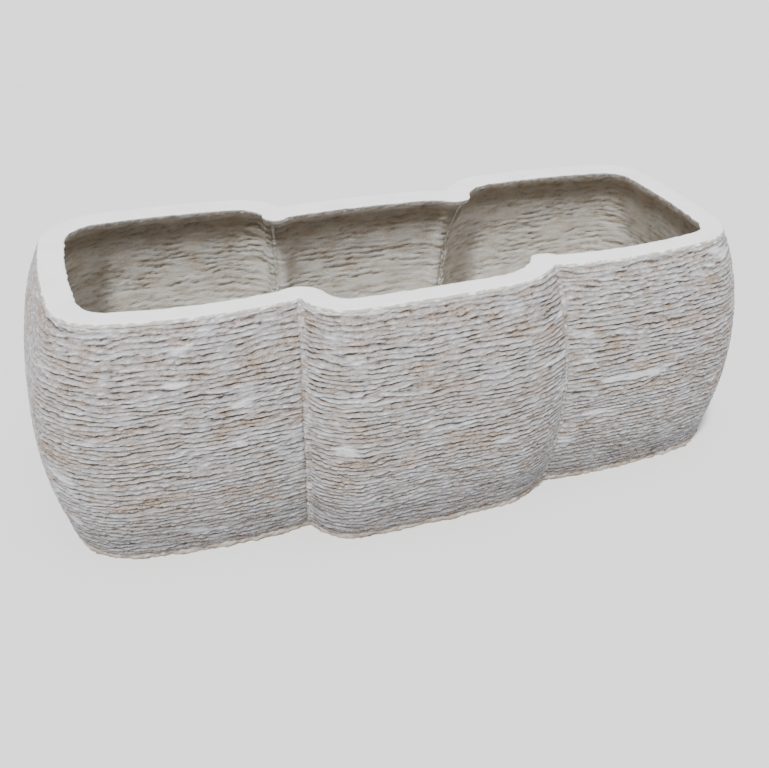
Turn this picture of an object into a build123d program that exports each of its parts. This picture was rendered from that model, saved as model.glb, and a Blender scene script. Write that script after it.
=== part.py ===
from build123d import *

import os
from dataclasses import dataclass
from functools import cache

os.makedirs("parts", exist_ok=True)

# Concrete planter built up from slabs as a row of three pillow-shaped bays.
# The origin is on the ground under the middle of the planter's outline.
# X runs along the planter, -Y is its front and +Z is up. Lengths are in millimetres.

# Overall sizes, with the depth measured between the corner lines of the rim
rim_depth = 230.0
height = 200.0

# Mean thickness of the walls. The hollow sits forward of the middle, so the back wall is
# thicker than the front wall.
wall = 21.0
hollow_shift = 3.0

# The walls lean out from the foot to the belly, then in again to the rim.
# Each pair holds a share of the height, and the share of the belly reached there.
belly = 25.0
profile_shares = ((0.0, 0.46), (0.25, 0.86), (0.5, 1.0), (0.75, 0.76), (0.9, 0.39), (1.0, 0.0))

# The main torn ridges run level round the walls. Each has a lip over a hollow face.
ridge_count = 8
ridge_depth = 1.2
ridge_lip = 2.4

# Lengths of the bays between their corner lines at the rim, and how far each end bay
# reaches into the middle bay at the front
left_bay_length = 199.0
middle_bay_length = 208.0
right_bay_length = 200.0
left_overlap = 19.5
right_overlap = 43.5

# How far the corner lines stand back from the rim's front and back lines
left_front_setback = 34.5
right_front_setback = 34.5
left_back_setback = 5.0
middle_back_setback = 31.0
right_back_setback = 7.0

# How far a side bows out beyond its corners, and how far one end of it is turned in
front_bow = 13.0
middle_front_bow = 2.5
back_bow = 9.0
joint_bow = 4.5
left_end_bow = 8.0
right_end_bow = 6.0
left_end_turn = 8.0
right_end_turn = 4.0
middle_front_turn = 12.0
middle_joint_turn = 15.0
right_front_turn = 12.5

# Corner radii at the rim: front left, front right, back right, back left
left_radii = (44.0, 48.0, 51.0, 50.0)
middle_radii = (39.0, 71.0, 75.0, 23.0)
right_radii = (52.0, 42.0, 43.0, 55.0)

# Shares of the belly that reach the ends and the sides that are hidden in the joints
left_end_share = 1.0
left_joint_share = 0.4
right_joint_share = 0.9
right_end_share = 0.82

# How far the inside corner of each joint stands into the hollow beyond an even wall
front_left_rib = 0.0
front_right_rib = 4.0
back_right_rib = 5.0
back_left_rib = 8.0

# Floor slab, with a lip that the walls stand on
floor_thickness = 24.0
foot_lip = 5.0
drain_radius = 8.0

# Cove of mortar round the floor
cove_width = 14.0
cove_height = 12.0
cove_edge = 1.5

# Rim and mortar joints
screed = 3.0
screed_edge = 1.2
seam_width = 3.0


@dataclass
class Bay:
    """Plan of one bay at the rim: its sides, and the shape of its corners and sides."""

    left: float
    right: float
    front: float
    back: float
    turns: tuple
    bows: tuple
    radii: tuple
    shares: tuple

    def corners(self, spread):
        """Corners once the bay has spread outward, counterclockwise from the front left."""
        left = self.left - spread * self.shares[0]
        right = self.right + spread * self.shares[1]
        front = self.front - spread
        back = self.back + spread
        front_turn, right_turn, left_turn = self.turns
        return [(left + left_turn, front), (right, front + front_turn), (right - right_turn, back), (left, back)]

    def corner_radii(self, spread):
        """Radius of each corner once the bay has spread outward."""
        left_share, right_share = self.shares
        growths = (left_share, right_share, right_share, left_share)
        return [radius + spread * growth for radius, growth in zip(self.radii, growths)]


front_line = -rim_depth / 2
back_line = rim_depth / 2
rim_length = left_bay_length + middle_bay_length + right_bay_length - left_overlap - right_overlap
left_line = -rim_length / 2
left_bay_end = left_line + left_bay_length
middle_line = left_bay_end - left_overlap
middle_bay_end = middle_line + middle_bay_length
right_bay_start = middle_bay_end - right_overlap

left_bay = Bay(
    left=left_line,
    right=left_bay_end,
    front=front_line + left_front_setback,
    back=back_line - left_back_setback,
    turns=(0, 0, left_end_turn),
    bows=(front_bow, joint_bow, back_bow, left_end_bow),
    radii=left_radii,
    shares=(left_end_share, left_joint_share),
)
middle_bay = Bay(
    left=middle_line - middle_joint_turn,
    right=middle_bay_end,
    front=front_line,
    back=back_line - middle_back_setback,
    turns=(middle_front_turn, 0, middle_joint_turn),
    bows=(middle_front_bow, joint_bow, back_bow, joint_bow),
    radii=middle_radii,
    shares=(left_joint_share, right_joint_share),
)
right_bay = Bay(
    left=right_bay_start,
    right=right_bay_start + right_bay_length,
    front=front_line + right_front_setback,
    back=back_line - right_back_setback,
    turns=(right_front_turn, right_end_turn, 0),
    bows=(front_bow, right_end_bow, back_bow, joint_bow),
    radii=right_radii,
    shares=(right_joint_share, right_end_share),
)
bays = (left_bay, middle_bay, right_bay)


def plan_of_bays(belly_share):
    """The three bays joined into one face."""
    spread = belly * belly_share
    with BuildSketch(mode=Mode.PRIVATE) as plan:
        for bay in bays:
            corners = bay.corners(spread)
            with BuildSketch(mode=Mode.PRIVATE) as pillow:
                with BuildLine():
                    for start, end, bow in zip(corners, corners[1:] + corners[:1], bay.bows):
                        SagittaArc(start, end, -bow)
                make_face()
                for corner, radius in zip(corners, bay.corner_radii(spread)):
                    fillet(pillow.vertices().sort_by_distance(corner)[0], radius)
            add(pillow.sketch)
    return plan.face()


widest_share = max(belly_share for share, belly_share in profile_shares)
plan_centre = plan_of_bays(widest_share).bounding_box().center()


@dataclass
class Run:
    """The arcs of the outline from one groove to the next, counterclockwise."""

    arcs: list

    def draw(self, inset=0, move=Vector(), trim=0):
        """Draw the run moved inwards, inside a BuildLine, and give its two ends."""
        drawn = []
        for arc in self.arcs:
            start = trim / arc.length if arc is self.arcs[0] else 0
            end = 1 - trim / arc.length if arc is self.arcs[-1] else 1
            points = [
                arc.position_at(share) - plan_centre + inward(arc.tangent_at(share)) * inset + move
                for share in (start, (start + end) / 2, end)
            ]
            drawn.append(ThreePointArc(*points))
        return drawn[0] @ 0, drawn[-1] @ 1

    def end(self, is_last, trim=0):
        """A point near the start or the end of the run, with its tangent."""
        arc = self.arcs[-1] if is_last else self.arcs[0]
        share = 1 - trim / arc.length if is_last else trim / arc.length
        return arc.position_at(share) - plan_centre, arc.tangent_at(share)


# Each run is named by its side of the planter, and by the joint that it starts from
run_starts = {"back_left": "left", "front_left": "front", "front_right": "right", "back_right": "back"}
run_ends = {"left": "front_left", "front": "front_right", "right": "back_right", "back": "back_left"}


def joint_name(point):
    """Which of the four joints a point of the plan belongs to."""
    return ("front" if point.Y < 0 else "back") + ("_left" if point.X < 0 else "_right")


@cache
def runs(belly_share):
    """The outline as its four runs. A groove is where the outline turns back on itself."""
    arcs = plan_of_bays(belly_share).outer_wire().order_edges()
    is_clockwise = sum((arc @ 0).cross(arc @ 1).Z for arc in arcs) < 0
    ends = (1, 0) if is_clockwise else (0, 1)
    if is_clockwise:
        arcs = arcs[::-1]
    arcs = [ThreePointArc(arc @ ends[0], arc @ 0.5, arc @ ends[1], mode=Mode.PRIVATE) for arc in arcs]
    turns = [(before % 1).cross(arc % 0).Z for before, arc in zip(arcs[-1:] + arcs[:-1], arcs)]
    starts = sorted(sorted(range(len(arcs)), key=lambda index: turns[index])[: len(ribs)])
    found = {}
    for start, end in zip(starts, starts[1:] + [starts[0] + len(arcs)]):
        found[run_starts[joint_name(arcs[start] @ 0)]] = Run((arcs + arcs)[start:end])
    return found


ribs = {
    "front_left": front_left_rib,
    "front_right": front_right_rib,
    "back_right": back_right_rib,
    "back_left": back_left_rib,
}
shift = Vector(0, -hollow_shift)


def inward(tangent):
    """Normal that looks into the planter, for a line that runs counterclockwise."""
    return Vector(0, 0, 1).cross(tangent)


def belly_share_at(level):
    """Share of the belly that the wall has reached at a height, on one smooth curve."""
    share = level / height
    total = 0
    for here, belly_share in profile_shares:
        others = [other for other, value in profile_shares if other != here]
        term = belly_share
        for other in others:
            term *= (share - other) / (here - other)
        total += term
    return total


def rib_arc(name, belly_share, inset):
    """Arc over the rib behind one joint, from the wall before it to the wall after it."""
    sides = runs(belly_share)
    before = [side for side, joint in run_ends.items() if joint == name][0]
    corner, first = sides[before].end(True)
    last = sides[run_starts[name]].end(False)[1]
    first, last = inward(first), inward(last)
    middle = (first + last).normalized() * (inset + ribs[name])
    points = [corner + side + shift for side in (first * inset, middle, last * inset)]
    return ThreePointArc(*points, mode=Mode.PRIVATE)


def part_of(arc, start, end):
    """Part of an arc between two shares of its length, inside a BuildLine."""
    return ThreePointArc(arc @ start, arc @ ((start + end) / 2), arc @ end)


def half_seam_share(arc):
    """Half a joint's width as a share of the arc over its rib."""
    return seam_width / 2 / arc.length


def outline(belly_share, level):
    """The outside of the planter as one face at a level."""
    with BuildSketch(Plane.XY.offset(level), mode=Mode.PRIVATE) as skin:
        with BuildLine():
            for side in run_ends:
                runs(belly_share)[side].draw()
        make_face()
    return skin.sketch.face()


def inner_outline(belly_share, inset, level):
    """The hollow as one face at a level, with a rib behind each groove."""
    with BuildSketch(Plane.XY.offset(level), mode=Mode.PRIVATE) as skin:
        with BuildLine():
            for side, joint in run_ends.items():
                runs(belly_share)[side].draw(inset, shift)
                rib = rib_arc(joint, belly_share, inset)
                half = half_seam_share(rib)
                part_of(rib, 0, 0.5 - half)
                part_of(rib, 0.5 - half, 0.5 + half)
                part_of(rib, 0.5 + half, 1)
        make_face()
    return skin.sketch.face()


# Levels of the walls: a lip and a hollow face for each ridge, and the levels of the floor and cove
wall_base = foot_lip
wall_top = height - screed
ridge_pitch = (wall_top - wall_base) / ridge_count
cove_top = floor_thickness + cove_height
lips = [wall_base + ridge_pitch * index for index in range(ridge_count + 1)]
wall_levels = sorted(lips + [lip - ridge_lip for lip in lips[1:]] + [floor_thickness, cove_top])


def setback(level):
    """How far the face of a ridge stands back from its lip at a level."""
    above = (level - wall_base) % ridge_pitch
    face = ridge_pitch - ridge_lip
    return ridge_depth * (above / face if above <= face else (ridge_pitch - above) / ridge_lip)


def wall_section(side, level):
    """One wall between its two joints, as a face at a level."""
    belly_share = belly_share_at(level)
    start_joint = [joint for joint, name in run_starts.items() if name == side][0]
    start_rib = rib_arc(start_joint, belly_share, wall)
    end_rib = rib_arc(run_ends[side], belly_share, wall)
    with BuildSketch(Plane.XY.offset(level), mode=Mode.PRIVATE) as section:
        with BuildLine():
            ends = runs(belly_share - setback(level) / belly)[side].draw(trim=seam_width / 2)
            runs(belly_share)[side].draw(wall, shift)
            first = part_of(start_rib, 0.5 + half_seam_share(start_rib), 1)
            last = part_of(end_rib, 0, 0.5 - half_seam_share(end_rib))
            Line(ends[0], first @ 0)
            Line(ends[1], last @ 1)
        make_face()
    return section.sketch.face()


def seam_section(name, level):
    """The mortar of one joint as a face at a level."""
    belly_share = belly_share_at(level)
    outer_share = belly_share - setback(level) / belly
    outer_sides = runs(outer_share)
    before = [side for side, joint in run_ends.items() if joint == name][0]
    after = run_starts[name]
    rib = rib_arc(name, belly_share, wall)
    half = half_seam_share(rib)
    groove = outer_sides[after].end(False)[0]
    outer_before = outer_sides[before].end(True, seam_width / 2)[0]
    outer_after = outer_sides[after].end(False, seam_width / 2)[0]
    with BuildSketch(Plane.XY.offset(level), mode=Mode.PRIVATE) as section:
        with BuildLine():
            Polyline(rib @ (0.5 - half), outer_before, groove, outer_after, rib @ (0.5 + half))
            part_of(rib, 0.5 - half, 0.5 + half)
        make_face()
    return section.sketch.face()


with BuildPart() as left_wall:
    loft(sections=[wall_section("left", level) for level in wall_levels], ruled=True)
left_wall.part.label = "left_wall"

with BuildPart() as front_wall:
    loft(sections=[wall_section("front", level) for level in wall_levels], ruled=True)
front_wall.part.label = "front_wall"

with BuildPart() as right_wall:
    loft(sections=[wall_section("right", level) for level in wall_levels], ruled=True)
right_wall.part.label = "right_wall"

with BuildPart() as back_wall:
    loft(sections=[wall_section("back", level) for level in wall_levels], ruled=True)
back_wall.part.label = "back_wall"

seams = []
for name in ribs:
    with BuildPart() as seam:
        loft(sections=[seam_section(name, level) for level in wall_levels], ruled=True)
    seam.part.label = name + "_seam"
    seams.append(seam.part)

# Floor slab: the lip under the walls, and the slab that fills the foot of the hollow
drain_places = [
    Vector((bay.left + bay.right) / 2, (bay.front + bay.back) / 2 - hollow_shift, floor_thickness) - plan_centre
    for bay in bays
]

with BuildPart() as floor_slab:
    loft(sections=[outline(belly_share_at(level), level) for level in (0, wall_base)], ruled=True)
    loft(
        sections=[inner_outline(belly_share_at(level), wall, level) for level in (0, wall_base, floor_thickness)],
        ruled=True,
    )
    with Locations(*drain_places):
        Hole(drain_radius)
floor_slab.part.label = "floor_slab"

# Cove of mortar in the corner between the floor and the walls
with BuildPart() as floor_cove:
    cove_levels = [level for level in wall_levels if floor_thickness <= level <= cove_top]
    loft(sections=[inner_outline(belly_share_at(level), wall, level) for level in cove_levels], ruled=True)
    loft(
        sections=[
            inner_outline(belly_share_at(floor_thickness), wall + cove_width, floor_thickness),
            inner_outline(belly_share_at(cove_top), wall + cove_edge, cove_top),
        ],
        ruled=True,
        mode=Mode.SUBTRACT,
    )
floor_cove.part.label = "floor_cove"

# Trowelled screed along the top of the walls, with its two edges eased
rim_levels = ((wall_top, 0), (height - screed_edge, 0), (height, screed_edge))
with BuildPart() as rim_screed:
    loft(
        sections=[outline(belly_share_at(level) - edge / belly, level) for level, edge in rim_levels],
        ruled=True,
    )
    loft(
        sections=[inner_outline(belly_share_at(level), wall - edge, level) for level, edge in rim_levels],
        ruled=True,
        mode=Mode.SUBTRACT,
    )
rim_screed.part.label = "rim_screed"

pieces = [
    floor_slab.part,
    left_wall.part,
    front_wall.part,
    back_wall.part,
    right_wall.part,
    *seams,
    floor_cove.part,
    rim_screed.part,
]
for piece in pieces:
    export_step(piece, f"parts/{piece.label}.step")
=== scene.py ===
"""Looks of the concrete planter: torn slabs, mortared joints, a screed rim and a ragged foot.

Lengths are in metres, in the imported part's frame. Each piece follows level cuts through the
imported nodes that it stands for, and its relief comes from seeded noise.
"""

import logging
import math
from collections.abc import Iterable
from dataclasses import dataclass, replace
from enum import Enum

import bpy
import numpy as np
from mathutils import Matrix, Vector


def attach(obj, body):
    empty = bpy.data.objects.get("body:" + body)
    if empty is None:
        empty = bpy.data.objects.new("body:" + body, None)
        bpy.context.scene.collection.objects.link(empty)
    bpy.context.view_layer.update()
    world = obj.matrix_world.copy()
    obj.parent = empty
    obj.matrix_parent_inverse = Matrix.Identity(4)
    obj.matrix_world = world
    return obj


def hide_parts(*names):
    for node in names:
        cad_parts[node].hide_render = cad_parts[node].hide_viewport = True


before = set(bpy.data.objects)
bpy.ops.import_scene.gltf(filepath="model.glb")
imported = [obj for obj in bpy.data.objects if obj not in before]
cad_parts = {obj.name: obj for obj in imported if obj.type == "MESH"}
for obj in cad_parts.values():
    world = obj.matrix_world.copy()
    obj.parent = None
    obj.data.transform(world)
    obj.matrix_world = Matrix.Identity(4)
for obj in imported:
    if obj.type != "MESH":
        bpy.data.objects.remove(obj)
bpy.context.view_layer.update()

log = logging.getLogger("planter")

MM = 0.001
BODY = "root"


class Slot(Enum):
    """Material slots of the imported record."""

    CONCRETE = "concrete"
    MORTAR = "mortar"
    SCREED = "screed"


class Face(Enum):
    """The two faces of a wall, and the side on which each is bare."""

    OUTER = 1
    INNER = -1


# Noise and small sums on arrays


class RidgeNoise(Enum):
    """Noises of the ridges: step of the seed, length and height in ridges, and octaves."""

    CHOICE = (20, 1.0, 2.2, 1)
    STRENGTH = (21, 0.6, 1.2, 2)
    SMEARS = (22, 1.7, 3.6, 3)
    GRIT = (23, 0.17, 0.5, 2)
    PITS = (24, 0.12, 0.4, 1)


class WallNoise(Enum):
    """Noises of a wall: step of the seed, length along, length up, and octaves."""

    CLOUDS = (40, 60 * MM, 22 * MM, 3)
    DRIFT = (41, 55 * MM, 30 * MM, 2)
    HOLD = (42, 45 * MM, 20 * MM, 2)
    CRUMBS = (43, 13 * MM, 5 * MM, 3)


class JointNoise(Enum):
    """Noises of a joint, given as for a wall."""

    SPREAD = (0, 40 * MM, 16 * MM, 3)
    LUMPS = (1, 7 * MM, 4 * MM, 3)


class RimNoise(Enum):
    """Noises of the rim, given as for a wall."""

    WAVE = (0, 24 * MM, MM, 2)
    CHIPS = (1, 9 * MM, MM, 3)
    DRIPS = (2, 16 * MM, MM, 3)
    DIP = (3, 35 * MM, 9 * MM, 2)
    RAGGED = (4, 5 * MM, MM, 2)
    ROUGH = (5, 5 * MM, 1.4 * MM, 3)
    TORN = (6, 9 * MM, 2.5 * MM, 3)


class FloorNoise(Enum):
    """Noises of the foot's edge, the floor and the cove, given as for a wall."""

    CRUMBS = (0, 5.5 * MM, 3 * MM, 3)
    CHUNKS = (1, 21 * MM, 6 * MM, 2)
    LUMPS = (0, 9 * MM, 7 * MM, 3)
    WAVES = (1, 45 * MM, 30 * MM, 2)


@dataclass(frozen=True)
class Grain:
    """Seeded gradient noise with one length along a surface and another up it."""

    seed: int
    along: float
    up: float
    octaves: int = 1
    lattice: int = 256
    gain: float = 1.45

    def at(self, s: np.ndarray, z: np.ndarray) -> np.ndarray:
        """Noise at places on a surface.

        Args:
            s: Distances along the surface.
            z: Distances up it, in an array of the same shape.

        Returns:
            Values that lie mostly from -1 to 1.
        """
        draw = np.random.default_rng(self.seed)
        total, weight, reach = np.zeros(np.shape(s)), 1.0, 0.0
        for octave in range(self.octaves):
            angles = draw.uniform(0, 2 * math.pi, (self.lattice, self.lattice))
            zoom = 2**octave
            total += weight * self.layer(s / self.along * zoom, z / self.up * zoom, angles)
            reach += weight
            weight /= 2
        return self.gain * total / reach

    def layer(self, x: np.ndarray, y: np.ndarray, angles: np.ndarray) -> np.ndarray:
        """One octave of the noise.

        Args:
            x: Places along, in cells.
            y: Places up, in cells.
            angles: Direction of the slope at each lattice point.

        Returns:
            The octave's value at each place.
        """
        column, row = np.floor(x).astype(int), np.floor(y).astype(int)
        fx, fy = x - column, y - row

        def corner(i: int, j: int) -> np.ndarray:
            """Slope of one lattice corner at each place."""
            angle = angles[(column + i) % self.lattice, (row + j) % self.lattice]
            return np.cos(angle) * (fx - i) + np.sin(angle) * (fy - j)

        across, upward = ease(fx), ease(fy)
        low = corner(0, 0) * (1 - across) + corner(1, 0) * across
        high = corner(0, 1) * (1 - across) + corner(1, 1) * across
        return low * (1 - upward) + high * upward


def drawn(
    seed: int, noise: Enum, s: np.ndarray, z: np.ndarray, length: float = 1.0, height: float = 1.0
) -> np.ndarray:
    """One named noise at places on a surface.

    Args:
        seed: Seed of the piece.
        noise: Which of its noises.
        s: Distances along the surface.
        z: Distances up it.
        length: What the noise's length is multiplied by.
        height: What its height is multiplied by.

    Returns:
        Values that lie mostly from -1 to 1.
    """
    step, along, up, octaves = noise.value
    return Grain(seed + step, along * length, up * height, octaves).at(s, z)


def ease(share: np.ndarray) -> np.ndarray:
    """Share from 0 to 1 with soft ends."""
    share = np.clip(share, 0, 1)
    return share * share * (3 - 2 * share)


def rise(value: np.ndarray, start: float, end: float) -> np.ndarray:
    """Soft step from 0 at start to 1 at end."""
    return ease((value - start) / (end - start))


def walked(line: np.ndarray) -> np.ndarray:
    """Distance walked along a line at each of its points."""
    steps = np.linalg.norm(np.diff(line, axis=0), axis=1)
    return np.concatenate([[0.0], np.cumsum(steps)])


def spaced(line: np.ndarray, count: int) -> np.ndarray:
    """The line with evenly spaced points.

    Args:
        line: Points of the line, one a row.
        count: How many points to return.

    Returns:
        Evenly spaced points from the line's first to its last.
    """
    along = walked(line)
    places = np.linspace(0, along[-1], count)
    return np.stack([np.interp(places, along, line[:, axis]) for axis in range(line.shape[1])], axis=1)


def outward(line: np.ndarray, closed: bool = False) -> np.ndarray:
    """Unit normals on the right hand of a line in plan, for lines that run counterclockwise.

    Args:
        line: Points in plan, in the last two axes of the array.
        closed: Whether the last point leads back to the first.

    Returns:
        Normals of the same shape.
    """
    if closed:
        slope = np.roll(line, -1, axis=-2) - np.roll(line, 1, axis=-2)
    else:
        slope = np.gradient(line, axis=-2)
    slope = slope / np.linalg.norm(slope, axis=-1, keepdims=True)
    return np.stack([slope[..., 1], -slope[..., 0]], axis=-1)


def smoothed(line: np.ndarray, rounds: int) -> np.ndarray:
    """The line with its kinks eased and its ends kept.

    Args:
        line: Points of the line along the first axis.
        rounds: How often each point moves towards its neighbours.

    Returns:
        The eased line.
    """
    for _ in range(rounds):
        line = line.copy()
        line[1:-1] = line[1:-1] / 2 + (line[:-2] + line[2:]) / 4
    return line


def flowing(lines: np.ndarray, cuts: np.ndarray, levels: np.ndarray) -> np.ndarray:
    """Lines between level cuts, on one smooth curve through them.

    Args:
        lines: Points at each cut, cuts by columns by two.
        cuts: Levels of the cuts.
        levels: Levels of the rows to make.

    Returns:
        Points at each level, levels by columns by two.
    """
    slopes = np.gradient(lines, cuts, axis=0, edge_order=2)
    lower = np.clip(np.searchsorted(cuts, levels) - 1, 0, len(cuts) - 2)
    span = (cuts[lower + 1] - cuts[lower])[:, None, None]
    t = (levels - cuts[lower])[:, None, None] / span
    start = (2 * t**3 - 3 * t**2 + 1) * lines[lower] + (t**3 - 2 * t**2 + t) * span * slopes[lower]
    end = (3 * t**2 - 2 * t**3) * lines[lower + 1] + (t**3 - t**2) * span * slopes[lower + 1]
    return start + end


def sawtooth(phase: np.ndarray, lip_share: float) -> np.ndarray:
    """Profile of a torn ridge over one pitch: 1 on its lip, down to 0, and back up under the next."""
    phase = phase % 1.0
    return np.where(phase < 1 - lip_share, 1 - phase / (1 - lip_share), (phase - 1 + lip_share) / lip_share)


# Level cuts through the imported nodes


class LevelCuts:
    """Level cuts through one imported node.

    Args:
        node: Name of the node.
    """

    shortest = 0.02 * MM

    def __init__(self, node: str) -> None:
        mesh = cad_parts[node].data
        mesh.calc_loop_triangles()
        points = np.empty(3 * len(mesh.vertices))
        mesh.vertices.foreach_get("co", points)
        corners = np.empty(3 * len(mesh.loop_triangles), dtype=np.int32)
        mesh.loop_triangles.foreach_get("vertices", corners)
        self.triangles = points.reshape(-1, 3)[corners.reshape(-1, 3)]

    def crossings(self, heights: np.ndarray, edges: np.ndarray) -> np.ndarray:
        """Points where the level meets one edge of each triangle.

        Args:
            heights: Height of each triangle's corners above the level.
            edges: Which edge of each triangle to take, one true in each row.

        Returns:
            One point in plan for each triangle.
        """
        rows = np.arange(len(edges))
        first = np.argmax(edges, axis=1)
        last = (first + 1) % 3
        below, above = heights[rows, first], heights[rows, last]
        share = (below / (below - above))[:, None]
        start, end = self.cut[rows, first, :2], self.cut[rows, last, :2]
        return start + share * (end - start)

    def loops(self, level: float) -> list[np.ndarray]:
        """Closed outlines of the node at a level, longest first, with the solid on their left.

        Args:
            level: Height of the cut.

        Returns:
            Points in plan, without the repeated first point.
        """
        heights = self.triangles[:, :, 2] - level
        crossed = (heights < 0).any(axis=1) & (heights >= 0).any(axis=1)
        heights, self.cut = heights[crossed], self.triangles[crossed]
        following = np.roll(heights, -1, axis=1)
        starts = self.crossings(heights, (heights >= 0) & (following < 0))
        ends = self.crossings(heights, (heights < 0) & (following >= 0))
        waiting = np.ones(len(starts), dtype=bool)
        found = []
        while waiting.any():
            first = current = int(np.argmax(waiting))
            chain = []
            while waiting[current]:
                waiting[current] = False
                chain.append(starts[current])
                gaps = np.linalg.norm(starts - ends[current], axis=1)
                open_gaps = np.where(waiting, gaps, np.inf)
                open_gaps[first] = gaps[first]
                current = int(np.argmin(open_gaps))
            found.append(self.cleaned(np.array(chain)))
        return sorted(found, key=lambda loop: -walked(loop)[-1])

    def cleaned(self, loop: np.ndarray) -> np.ndarray:
        """The loop without points that lie on their neighbour."""
        steps = np.linalg.norm(np.roll(loop, -1, axis=0) - loop, axis=1)
        return loop[steps > self.shortest]

    def faces_at(self, level: float) -> dict[Face, np.ndarray]:
        """Outer and inner line of a wall at a level, both counterclockwise round the planter.

        Args:
            level: Height of the cut.

        Returns:
            Points in plan for each face of the wall.
        """
        loop = self.loops(level)[0]
        step = np.roll(loop, -1, axis=0) - loop
        before = np.roll(step, 1, axis=0)
        turn = np.arctan2(
            before[:, 0] * step[:, 1] - before[:, 1] * step[:, 0], (before * step).sum(axis=1)
        )
        corners = np.sort(np.argsort(turn)[-4:])
        loop = np.roll(loop, -corners[0], axis=0)
        corners = [*(corners - corners[0]), len(loop)]
        loop = np.concatenate([loop, loop[:1]])
        sides = [loop[start : end + 1] for start, end in zip(corners, corners[1:])]
        sides.sort(key=lambda side: -walked(side)[-1])
        inner, outer = sorted(sides[:2], key=lambda side: np.linalg.norm(side.mean(axis=0)))
        return {Face.OUTER: outer, Face.INNER: inner[::-1]}


# Shader expressions


class Value:
    """A number that varies over a surface, for use in sums.

    Args:
        shader: The shader whose nodes make the number.
        socket: The output that carries it.
    """

    def __init__(self, shader: "Shader", socket: bpy.types.NodeSocket) -> None:
        self.shader = shader
        self.socket = socket

    def sum(self, operation: str, *terms: "Value | float", clamp: bool = False) -> "Value":
        """One Math node.

        Args:
            operation: The node's operation.
            terms: Its inputs.
            clamp: Whether the result is kept from 0 to 1.

        Returns:
            The node's result.
        """
        node = self.shader.node(
            "ShaderNodeMath", {"operation": operation, "use_clamp": clamp}, dict(enumerate(terms))
        )
        return Value(self.shader, node.outputs[0])

    def __add__(self, other: "Value | float") -> "Value":
        """This value plus another."""
        return self.sum("ADD", self, other)

    def __radd__(self, other: float) -> "Value":
        """A number plus this value."""
        return self.sum("ADD", other, self)

    def __sub__(self, other: "Value | float") -> "Value":
        """This value less another."""
        return self.sum("SUBTRACT", self, other)

    def __rsub__(self, other: float) -> "Value":
        """A number less this value."""
        return self.sum("SUBTRACT", other, self)

    def __mul__(self, other: "Value | float") -> "Value":
        """This value times another."""
        return self.sum("MULTIPLY", self, other)

    def __rmul__(self, other: float) -> "Value":
        """A number times this value."""
        return self.sum("MULTIPLY", other, self)

    def step(self, start: float, end: float) -> "Value":
        """Soft step from 0 where this value is start to 1 where it is end."""
        node = self.shader.node(
            "ShaderNodeMapRange",
            {"interpolation_type": "SMOOTHSTEP"},
            {"Value": self, "From Min": start, "From Max": end},
        )
        return Value(self.shader, node.outputs["Result"])

    def clamped(self) -> "Value":
        """This value kept from 0 to 1."""
        return self.sum("ADD", self, 0.0, clamp=True)


class Colour:
    """A colour that varies over a surface.

    Args:
        shader: The shader whose nodes make the colour.
        socket: The output that carries it.
    """

    def __init__(self, shader: "Shader", socket: bpy.types.NodeSocket) -> None:
        self.shader = shader
        self.socket = socket

    def towards(self, other: "Colour | tuple[float, ...]", share: Value) -> "Colour":
        """This colour mixed with another.

        Args:
            other: The other colour.
            share: How much of it shows, from 0 to 1.

        Returns:
            The mixed colour.
        """
        return self.shader.mix(share, self, other)


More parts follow.
